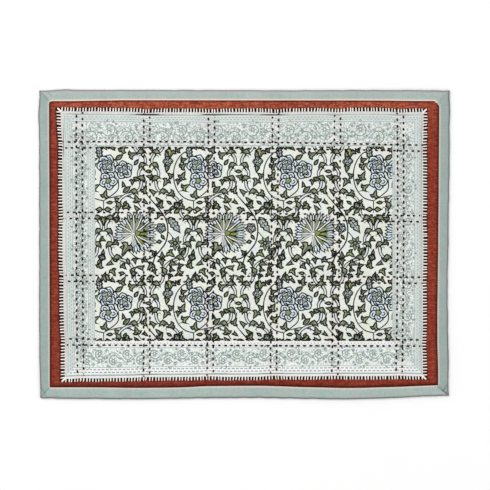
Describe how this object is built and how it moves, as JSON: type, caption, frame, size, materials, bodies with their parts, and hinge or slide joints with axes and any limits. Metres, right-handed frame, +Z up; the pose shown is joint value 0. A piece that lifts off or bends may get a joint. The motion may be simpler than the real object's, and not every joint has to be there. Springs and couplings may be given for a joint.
{
  "type": "fabric placemat",
  "caption": "Flat quilted cotton placemat: a block-printed floral panel overcast onto a rust cloth, with a mitred sage binding.",
  "frame": {"origin": "middle of the mat in plan, on the surface that it lies on", "axes": "+X along the long side, +Y along the short side towards the far edge, +Z up through the thickness"},
  "size_m": [0.4821, 0.3627, 0.0038],
  "materials": {
    "rust_cotton": "plain-woven rust-red cotton with a slight slub, matt",
    "printed_cotton": "plain-woven cotton, hand-block printed in dark green-black, olive, pale blue and grey on cream, matt",
    "sage_cotton": "plain-woven sage-green cotton, matt"
  },
  "bodies": {
    "root": {"rust_ground": "rust_cotton", "printed_panel": "printed_cotton", "binding_far": "sage_cotton", "binding_near": "sage_cotton", "binding_left": "sage_cotton", "binding_right": "sage_cotton"}
  },
  "joints": []
}
